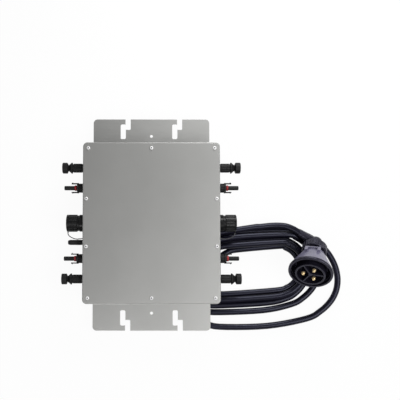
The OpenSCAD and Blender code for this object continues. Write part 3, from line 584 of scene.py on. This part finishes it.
@dataclass(frozen=True)
class Studio:
    """White table, soft light and the camera above it."""

    camera_at: tuple[float, float, float] = (0.0, -71.0, 1124.2)
    tilt: float = 3.7
    lens: float = 56.63
    shift: tuple[float, float] = (0.1213, 0.0598)
    floor_half: float = 4000.0
    floor_drop: float = 0.4
    floor_colour: str = "#f4f4f4"
    floor_white: float = 0.95
    floor_gloss: float = 0.5
    room_white: float = 1.0
    room_gloss: float = 0.3
    room_light: float = 0.22
    boxes: tuple[Softbox, ...] = (
        Softbox("key_softbox", (840, -340, 1250), (60, -20, 40), 900, 11.0),
        Softbox("back_softbox", (250, 640, 420), (290, -40, 50), 420, 4.0),
        Softbox("front_softbox", (-220, -850, 1200), (-60, -170, 40), 700, 4.5),
    )

    def build_camera(self) -> bpy.types.Object:
        """Make the camera that looks down on the cover.

        Returns:
            The camera's object.
        """
        data = bpy.data.cameras.new("camera")
        data.lens = self.lens
        data.sensor_width = 36.0
        data.shift_x, data.shift_y = self.shift
        data.clip_end = 50.0
        made = bpy.data.objects.new("camera", data)
        made.location = Vector(self.camera_at) * MM
        made.rotation_euler = (math.radians(self.tilt), 0.0, 0.0)
        bpy.context.scene.collection.objects.link(made)
        bpy.context.scene.camera = made
        return made

    def build_floor(self) -> bpy.types.Object:
        """Make the pale floor, white to the camera where no shadow falls.

        Returns:
            The floor.
        """
        half = self.floor_half
        bm = bmesh.new()
        corners = [(-half, -half), (half, -half), (half, half), (-half, half)]
        bm.faces.new([bm.verts.new((x, y, -self.floor_drop)) for x, y in corners])
        floor = mesh_object("floor", bm, smooth=False)
        paper = bpy.data.materials.new("white_paper_sweep")
        paper.use_nodes = True
        tree = paper.node_tree
        tree.nodes.clear()
        share = self._by_ray(tree, self.floor_white, self.floor_gloss, 0.0)
        matt = add_node(tree, "BsdfDiffuse", {"Color": linear(self.floor_colour)})
        glow = add_node(tree, "Emission", {"Strength": 1.0})
        both = add_node(tree, "MixShader", {0: share, 1: matt.outputs[0], 2: glow.outputs[0]})
        add_node(tree, "OutputMaterial", {"Surface": both.outputs[0]})
        floor.data.materials.append(paper)
        return floor

    def build_world(self) -> None:
        """Make the even light of the room, which camera and gloss see as white."""
        world = bpy.data.worlds.new("room")
        world.use_nodes = True
        tree = world.node_tree
        tree.nodes.clear()
        strength = self._by_ray(tree, self.room_white, self.room_gloss, self.room_light)
        light = add_node(tree, "Background", {"Strength": strength})
        add_node(tree, "OutputWorld", {"Surface": light.outputs[0]})
        bpy.context.scene.world = world

    @staticmethod
    def _by_ray(tree: bpy.types.NodeTree, camera: float, gloss: float, rest: float) -> bpy.types.NodeSocket:
        """Give one value to the camera, one to gloss and glass, and one to all other rays.

        Args:
            tree: Tree that takes the nodes.
            camera: Value for rays of the camera.
            gloss: Value for rays of gloss and through glass.
            rest: Value for the rest.

        Returns:
            The socket that holds the value.
        """
        path = add_node(tree, "LightPath").outputs
        shiny = add_node(
            tree, "Math", {0: path["Is Glossy Ray"], 1: path["Is Transmission Ray"]}, operation="MAXIMUM"
        )
        level = add_node(tree, "MapRange", {"Value": shiny.outputs[0], "To Min": rest, "To Max": gloss})
        seen = {"Value": path["Is Camera Ray"], "To Min": level.outputs[0], "To Max": camera}
        return add_node(tree, "MapRange", seen).outputs[0]

    def build_lights(self) -> None:
        """Hang the softboxes."""
        for box in self.boxes:
            box.build()


# ---------------------------------------------------------------- AC lead


@dataclass(frozen=True)
class LeadRoute:
    """Centreline of the AC lead: oval loops that nest in two layers, then a short way to the coupler."""

    lead_d: float = 11.0
    lead_gap: float = 0.9
    nest_top: float = 0.52
    nest_low: float = 0.12
    nest_low_at: float = -80.0
    nest_swap: float = 0.46
    swap_at: float = -134.0
    nest_share: float = 0.965
    coil_r: float = 38.0
    coil_run: float = 48.0
    centre: tuple[float, float] = (177.0, -80.5)
    lean: float = 5.0
    flat: float = 3.0
    turns: float = 5.236
    step_share: float = 0.36
    swing_side: float = 26.0
    swing_down: float = 23.0
    swing_down_at: float = -46.0
    start: float = 0.055
    start_inset: float = 20.0
    inset_from: float = 0.21
    inset_over: float = 0.08
    gland_rise: float = 6.5
    gland_run: float = 0.2
    way_step: float = 0.004
    rings: int = 125
    tail: tuple[tuple[float, float, float], ...] = (
        (204, -3.2, 15.9),
        (213, -2.5, 16.1),
        (222, -2.3, 16.5),
        (231, -2.8, 17.1),
        (239.5, -4.4, 17.9),
    )
    outlet_heading: float = 146.0
    outlet_drop: float = 0.1
    outlet_mouth: tuple[float, float, float] = (259.627, -15.296, 20.077)

    @property
    def pitch(self) -> float:
        """Distance from strand to strand."""
        return self.lead_d + self.lead_gap

    @property
    def swap_turn(self) -> float:
        """Turn at which the first loop changes to the next layer."""
        return (180 - self.swap_at) / 360

    @staticmethod
    def ease(x: float) -> float:
        """Smooth step from 0 to 1."""
        c = min(max(x, 0.0), 1.0)
        return c * c * (3 - 2 * c)

    @staticmethod
    def lobe(angle: float, at: float, power: float) -> float:
        """Swell round the coil that is 1 at one angle, in degrees, and 0 opposite."""
        return ((1 + math.cos(math.radians(angle - at))) / 2) ** power

    def loop_number(self, turn: float) -> float:
        """Count of loops wound outwards at a turn."""
        u = turn - self.swap_turn
        return 0.0 if u < 0 else math.floor(u) + self.ease((u - math.floor(u)) / self.step_share)

    def reach(self, loop: float, angle: float) -> float:
        """Distance of the strand's tangent from the origin.

        Args:
            loop: Loop number.
            angle: Direction of the tangent's normal, in degrees.

        Returns:
            The distance.
        """
        a, lean = math.radians(angle), math.radians(angle - self.lean)
        low, swap = self.lobe(angle, self.nest_low_at, 2), self.lobe(angle, self.swap_at, 5)
        oval = math.hypot(self.coil_run * math.cos(lean), self.flat * math.sin(lean))
        middle = self.centre[0] * math.cos(a) + self.centre[1] * math.sin(a)
        spread = loop * self.pitch * (self.nest_top + self.nest_low * low + self.nest_swap * swap)
        side = self.swing_side * self.ease((loop - 2) / 2) * self.lobe(angle, 0, 3)
        down = self.swing_down * self.ease(loop - 3) * self.lobe(angle, self.swing_down_at, 3)
        return middle + self.coil_r + oval + spread + side + down

    def height(self, turn: float) -> float:
        """Height of the centreline, on the floor or in the valley between two strands."""
        low = self.lead_d / 2
        if math.floor(turn + 1 - self.swap_turn) % 2 == 0:
            return low + self.gland_rise * (1 - self.ease((turn - self.start) / self.gland_run))
        angle, loop = 180 - 360 * turn, self.loop_number(turn)
        back = self.reach(loop, angle) - self.reach(loop - 1, angle) if turn >= 1 else self.pitch
        on = self.reach(loop + 1, angle) - self.reach(loop, angle) if turn + 1 <= self.turns else self.pitch
        step = self.nest_share * min(back, on)
        return low + math.sqrt(max(0.0, self.pitch**2 - step**2))

    def point(self, turn: float) -> Vector:
        """Point of the centreline at a turn of the coil."""
        angle = 180 - 360 * turn
        a, loop = math.radians(angle), self.loop_number(turn)
        h = self.reach(loop, angle)
        d = (self.reach(loop, angle + 1) - self.reach(loop, angle - 1)) * 90 / math.pi
        inset = self.start_inset * (1 - self.ease((turn - self.inset_from) / self.inset_over))
        x = h * math.cos(a) - d * math.sin(a) + inset
        return Vector((x, h * math.sin(a) + d * math.cos(a), self.height(turn)))

    def way(self, turn: float) -> Vector:
        """Level direction of the lead at a turn of the coil."""
        step = self.point(turn + self.way_step) - self.point(turn - self.way_step)
        return Vector((step.x, step.y, 0)).normalized()

    @property
    def gland_mouth(self) -> Vector:
        """Point where the lead leaves its gland."""
        return self.point(self.start) - self.lead_d * self.way(self.start)

    @property
    def outlet_axis(self) -> Vector:
        """Direction out of the coupler's outlet."""
        a = math.radians(self.outlet_heading)
        return Vector((math.cos(a), math.sin(a), -self.outlet_drop))

    def path(self, cuts: int) -> list[Vector]:
        """Smooth centreline from the gland to just inside the coupler's outlet.

        Args:
            cuts: Steps between two points of the route.

        Returns:
            Points along the lead.
        """
        span = (self.turns - self.start) / (self.rings - 1)
        loops = [self.point(self.start + span * i) for i in range(self.rings)]
        coil_end = loops[-1] + self.lead_d * self.way(self.turns)
        mouth = Vector(self.outlet_mouth)
        tail = [coil_end, coil_end + self.lead_d / 2 * self.way(self.turns), *map(Vector, self.tail)]
        tail += [mouth + self.lead_d * self.outlet_axis, mouth]
        line = smooth_path([self.gland_mouth, *loops, *tail], cuts)
        return [Vector((p.x, p.y, max(p.z, self.lead_d / 2))) for p in line]


@dataclass(frozen=True)
class AcLead:
    """The black lead with its bend relief at the gland."""

    route: LeadRoute = field(default_factory=LeadRoute)
    cuts: int = 5
    sides: int = 20
    relief_len: float = 24.0
    relief_r: float = 7.2
    relief_skin: float = 0.3
    rib_count: int = 5
    rib_rise: float = 0.35

    def build(self, trim: Sequence[bpy.types.Object]) -> None:
        """Args:
            trim: Pieces on the coupler at the lead's end. Not used.
        """
        path = self.route.path(self.cuts)
        lead = tube("ac_lead", path, self.route.lead_d / 2, self.sides)
        PVC_SHEATH.put_on(lead)
        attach(lead, "case")
        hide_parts("ac_lead_coil", "ac_lead_tail")
        relief = self._build_relief(path)
        self.route.gland_mouth * MM

    def _build_relief(self, path: Sequence[Vector]) -> bpy.types.Object:
        """Make the ribbed, tapered bend relief on the lead at its gland.

        Args:
            path: Centreline of the lead.

        Returns:
            The relief.
        """
        run, far = [path[0]], 0.0
        for a, b in zip(path, path[1:]):
            far += (b - a).length
            run.append(b)
            if far >= self.relief_len:
                break
        line = smooth_path(run, 8)
        low = self.route.lead_d / 2 + self.relief_skin

        def size(share: float) -> float:
            """Radius along the relief, with ribs that fade out."""
            rib = self.rib_rise * max(0.0, math.sin(share * 2 * self.rib_count * math.pi)) * (1 - share)
            return low + (self.relief_r - low) * (1 - share) + rib

        relief = tube("lead_bend_relief", line, size, 32)
        BLACK_RUBBER.put_on(relief)
        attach(relief, "case")
        return relief


# ---------------------------------------------------------------- connectors on the walls


@dataclass(frozen=True)
class WallPlace:
    """Places on the connector walls."""

    wall_x: float = 115.0
    axis_z: float = 44.0

    def at(self, side: Side, y: float) -> Matrix:
        """Frame on a wall with local Z along the connector's axis, outwards.

        Args:
            side: Wall.
            y: Place along the wall.

        Returns:
            The frame.
        """
        turn = Matrix.Rotation(math.radians(90 * side.value), 4, "Y")
        return Matrix.Translation((side.value * self.wall_x, y, self.axis_z)) @ turn


@dataclass(frozen=True)
class CapTether:
    """The thin tether that keeps a port cap on the case."""

    place: WallPlace = field(default_factory=WallPlace)
    diameter: float = 1.5
    ring_end: tuple[float, float, float] = (28.4, -16.35, 0.0)
    eyelet_end: tuple[float, float, float] = (2.0, -21.45, 0.0)
    near: tuple[tuple[float, float, float], ...] = (
        (0, -1.5, 0),
        (-0.5, -3.4, -0.9),
        (-1.8, -5.3, -2.7),
        (-4, -7.1, -5),
        (-7, -8.7, -7.2),
        (-10.6, -9.9, -8.8),
        (-14.5, -10.5, -9.4),
    )
    far: tuple[tuple[float, float, float], ...] = (
        (8.7, -5, -8.8),
        (5.9, -5, -7.5),
        (3.4, -4.8, -5.4),
        (1.6, -4.4, -3.3),
        (0.6, -3.7, -1.6),
        (0.1, -2.6, -0.5),
        (0, -1.3, 0),
    )

    def build(self, side: Side) -> None:
        """Make one tether, hung from the cap's ring to its eyelet on the wall.

        Args:
            side: Wall.
        """
        ring, eyelet = Vector(self.ring_end), Vector(self.eyelet_end)
        hang = [ring + Vector(p) for p in self.near]
        rise = [eyelet + Vector(p) for p in self.far]
        local = [ring, *hang, *rise, eyelet]
        wall = Vector((self.place.wall_x, 0, self.place.axis_z))
        route = [wall + p for p in local]
        route = [Vector((side.value * p.x, p.y, p.z)) for p in route]
        path = smooth_path(route, 4)
        tether = tube(f"tether_{side.word}", path, self.diameter / 2, 12)
        TETHER_TPE.put_on(tether)
        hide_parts(f"cap_tether_{side.word}")
        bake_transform(tether)


@dataclass(frozen=True)
class DcConnectors:
    """Sockets, plugs and latch arms of the DC inputs."""

    place: WallPlace = field(default_factory=WallPlace)
    socket_y: float = 95.5
    plug_y: float = 60.7
    socket_grip: GripRibs = GripRibs(7.05, 4.0, 19.6, 12, 1.9, 0.75, turn=15)
    plug_grip: GripRibs = GripRibs(7.25, 1.6, 9.6, 12, 1.9, 0.7, turn=15)

    def dress(self, nodes: Nodes) -> None:
        """Give the connectors' solids their finishes.

        Args:
            nodes: CAD nodes by name.
        """
        for name, node in nodes.items():
            if name.startswith(("dc_socket", "dc_plug", "dc_latch")):
                DC_NYLON.put_on(node)
        RED_SILICONE.put_on(nodes["dc_seal_rings"])
        TURNED_BRASS.put_on(nodes["dc_contacts"])
        BLACK_RUBBER.put_on(nodes["panel_seals"])
        GREY_NYLON.put_on(nodes["panel_nuts"])

    def build(self) -> None:
        """Make the grip ribs on every socket and plug."""
        for side in Side:
            for row in Row:
                for kind, y, grip in (
                    ("socket", self.socket_y, self.socket_grip),
                    ("plug", self.plug_y, self.plug_grip),
                ):
                    name = f"{kind}_grip_{side.word}_{row.word}"
                    ribs = grip.build(name, self.place.at(side, row.value * y))
                    DC_NYLON.put_on(ribs)
                    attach(ribs, "case")
                    LOG.info("%s: %d ribs", name, grip.count)


@dataclass(frozen=True)
class AcPorts:
    """Capped AC ports with their tethers."""

    tether: CapTether = field(default_factory=CapTether)

    def dress(self, nodes: Nodes) -> None:
        """Give the ports' solids their finishes.

        Args:
            nodes: CAD nodes by name.
        """
        for side in Side:
            for kind in ("ac_port", "ac_cap", "cap_ring"):
                CAP_NYLON.put_on(nodes[f"{kind}_{side.word}"])
            BLACK_RUBBER.put_on(nodes[f"cap_seal_{side.word}"])
        CAP_NYLON.put_on(nodes["tether_eyelets"])

    def build(self) -> None:
        """Hang both tethers."""
        for side in Side:
            self.tether.build(side)


@dataclass(frozen=True)
class Antenna:
    """Stub antenna on the left wall."""

    place: WallPlace = field(default_factory=WallPlace)
    y: float = -33.0
    sleeve_r: float = 4.4
    first: float = 6.4
    gap: float = 1.9
    count: int = 4
    ring_section: tuple[tuple[float, float], ...] = (
        (-0.3, 0),
        (0.25, 0.15),
        (0.45, 0.5),
        (0.25, 0.85),
        (-0.3, 1),
    )

    def dress(self, nodes: Nodes) -> None:
        """Give the antenna's solids their finishes."""
        DC_NYLON.put_on(nodes["antenna_base"])
        DC_NYLON.put_on(nodes["antenna_sleeve"])

    def build(self) -> None:
        """Make the moulded rings at the sleeve's foot."""
        frame = self.place.at(Side.LEFT, self.y)
        for k in range(self.count):
            z = self.first + self.gap * k
            profile = [(self.sleeve_r + out, z + up) for out, up in self.ring_section]
            ring = lathe(f"antenna_ring_{k + 1}", profile, frame, 48)
            DC_NYLON.put_on(ring)
            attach(ring, "case")
        LOG.info("antenna: %d rings", self.count)


# ---------------------------------------------------------------- case, coupler and electronics


@dataclass(frozen=True)
class CaseShell:
    """Tray, cover, brackets and heat sink."""

    corner_screw: tuple[float, float] = (107.5, 127.0)
    side_screw: tuple[float, float] = (110.5, 40.5)
    recess_z: float = 65.7
    recess_r: float = 1.3
    recess_t: float = 0.1

    def build(self) -> None:
        """Make painted shade on the floors of the cover screws' sockets: near-black discs, as one mesh."""
        places = [
            (side.value * x, row.value * y)
            for x, y in (self.corner_screw, self.side_screw)
            for side in Side
            for row in Row
        ]
        places += [(0.0, row.value * self.corner_screw[1]) for row in Row]
        levels = (self.recess_z, self.recess_z + self.recess_t)
        turns = [math.pi * k / 12 for k in range(24)]
        bm = bmesh.new()
        for x, y in places:
            rim = [(x + self.recess_r * math.cos(a), y + self.recess_r * math.sin(a)) for a in turns]
            add_rings(bm, [[Vector((*p, z)) for p in rim] for z in levels])
        socket_shade = mesh_object("screw_socket_floors", bm, smooth=False)
        # Near-black discs: painted shade at the foot of each screw's socket.
        SOCKET_PAINTED_SHADE.put_on(socket_shade)
        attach(socket_shade, "case")
        LOG.info("screw_socket_floors: %d", len(places))

    def dress(self, nodes: Nodes) -> None:
        """Give the shell's solids their finishes.

        Args:
            nodes: CAD nodes by name.
        """
        COVER_ALUMINIUM.put_on(nodes["cover_plate"])
        CASE_ALUMINIUM.put_on(nodes["case_tray"])
        BLACK_RUBBER.put_on(nodes["cover_gasket"])
        SINK_ALUMINIUM.put_on(nodes["heat_sink"])
        for name in ("bracket_top", "bracket_bottom"):
            FLANGE_ALUMINIUM.put_on(nodes[name])
        # Screws and rivets: near-white zinc, a painted reflection of the white room.
        for name in ("cover_screws", "heat_sink_screws", "bracket_rivets"):
            ZINC_STEEL_PAINTED_REFLECTION.put_on(nodes[name])


@dataclass(frozen=True)
class Coupler:
    """Three-pin coupler on the far end of the lead."""

    at: tuple[float, float, float] = (282.5, -44.7, 32.534)
    rise: float = 37.7
    heading: float = -111.5
    rim_u: float = 55.0
    rim_r: float = 36.9
    wall: float = 3.5
    band: float = 4.0
    skin: float = 0.15
    bite: float = 0.3
    bevel: float = 0.8
    throat: float = 6.0
    lip_depth: float = 14.0
    pin_circle_r: float = 11.7
    pin_turn: float = 52.0
    pin_r: float = 3.2
    pin_shade_from: float = 45.1
    pin_shade_to: float = 55.6
    pin_shade_t: float = 0.2

    @property
    def frame(self) -> Matrix:
        """Frame with local Z along the coupler's axis."""
        turn = Matrix.Rotation(math.radians(self.heading), 4, "Z")
        lean = Matrix.Rotation(math.radians(90 - self.rise), 4, "Y")
        return Matrix.Translation(self.at) @ turn @ lean

    def dress(self, nodes: Nodes) -> None:
        """Give the coupler's and the gland's solids their finishes.

        Args:
            nodes: CAD nodes by name.
        """
        SHELL_POLYCARBONATE.put_on(nodes["coupler_bell"])
        for name in ("coupler_body", "coupler_nut", "coupler_insert", "lead_elbow", "lead_gland_nut"):
            DARK_POLYCARBONATE_AND_PAINTED_SHADE.put_on(nodes[name])
        TURNED_BRASS.put_on(nodes["coupler_pins"])

    def build(self) -> list[bpy.types.Object]:
        """Make painted shade as a dark lining round the bell's rim and down its mouth, and on the pins'
        shanks.

        Returns:
            The pieces.
        """
        r, wall, u, skin = self.rim_r, self.wall, self.rim_u, self.skin
        profile = [
            (r - self.bite, u - self.band),
            (r + skin, u - self.band),
            (r + skin, u - self.bevel),
            (r - self.bevel, u + skin),
            (r - wall - skin, u + skin),
            (r - wall - 0.5 - skin, u - self.throat),
            (r - wall - self.throat, u - self.lip_depth),
            (r - wall - self.throat + 1, u - self.lip_depth),
            (r - wall + self.bite, u - self.band),
        ]
        # A dark lining of painted shade on the rim's outer band, its front and down the mouth's inner wall.
        mouth_shade = lathe("bell_mouth_lip", profile, self.frame, 128)
        DARK_POLYCARBONATE_AND_PAINTED_SHADE.put_on(mouth_shade)
        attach(mouth_shade, "bell")
        LOG.info("bell_mouth_lip: radius %.1f mm", r)
        return [mouth_shade, *self._build_sleeves()]

    def _build_sleeves(self) -> list[bpy.types.Object]:
        """Make painted shade on the pins' shanks as dark covers, which leave the tips bright.

        Returns:
            The three pieces of painted shade.
        """
        pin_shades = []
        low, high, r, t = self.pin_shade_from, self.pin_shade_to, self.pin_r, self.pin_shade_t
        profile = [(r - t, low), (r + t, low), (r + t, high - t), (r, high), (r - t, high)]
        for k in range(3):
            spin = Matrix.Rotation(math.radians(self.pin_turn + 120 * k), 4, "Z")
            place = self.frame @ spin @ Matrix.Translation((self.pin_circle_r, 0, 0))
            # Dark cover on a pin's shank down in the mouth: painted shade; the tip stays bright.
            sleeve = lathe(f"pin_sleeve_{k + 1}", profile, place, 48)
            DARK_POLYCARBONATE_AND_PAINTED_SHADE.put_on(sleeve)
            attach(sleeve, "case")
            pin_shades.append(sleeve)
        LOG.info("pin_painted_shades: %.1f mm long", high - low)
        return pin_shades


@dataclass(frozen=True)
class Electronics:
    """Board and parts sealed in the case."""

    def dress(self, nodes: Nodes) -> None:
        """Give the inner solids their finishes.

        Args:
            nodes: CAD nodes by name.
        """
        BOARD_LAMINATE.put_on(nodes["main_board"])
        TURNED_BRASS.put_on(nodes["board_standoffs"])
        FERRITE.put_on(nodes["transformers"])
        CAPACITOR_SLEEVE.put_on(nodes["capacitors"])
        EPOXY.put_on(nodes["power_transistors"])


# ---------------------------------------------------------------- the whole


def main() -> None:
    """Load the frame, build camera and cords first, then dress every sub-assembly."""
    logging.basicConfig(level=logging.INFO, format="%(name)s: %(message)s")
    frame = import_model()
    nodes: Nodes = frame["nodes"]
    bpy.context.scene.view_settings.view_transform = "Standard"
    studio = Studio()
    studio.build_camera()
    coupler = Coupler()
    AcLead().build(coupler.build())
    ports = AcPorts()
    ports.build()
    studio.build_floor()
    studio.build_world()
    studio.build_lights()
    shell = CaseShell()
    shell.dress(nodes)
    shell.build()
    dc = DcConnectors()
    dc.dress(nodes)
    dc.build()
    ports.dress(nodes)
    antenna = Antenna()
    antenna.dress(nodes)
    antenna.build()
    coupler.dress(nodes)
    Electronics().dress(nodes)


if __name__ == "__main__":
    main()
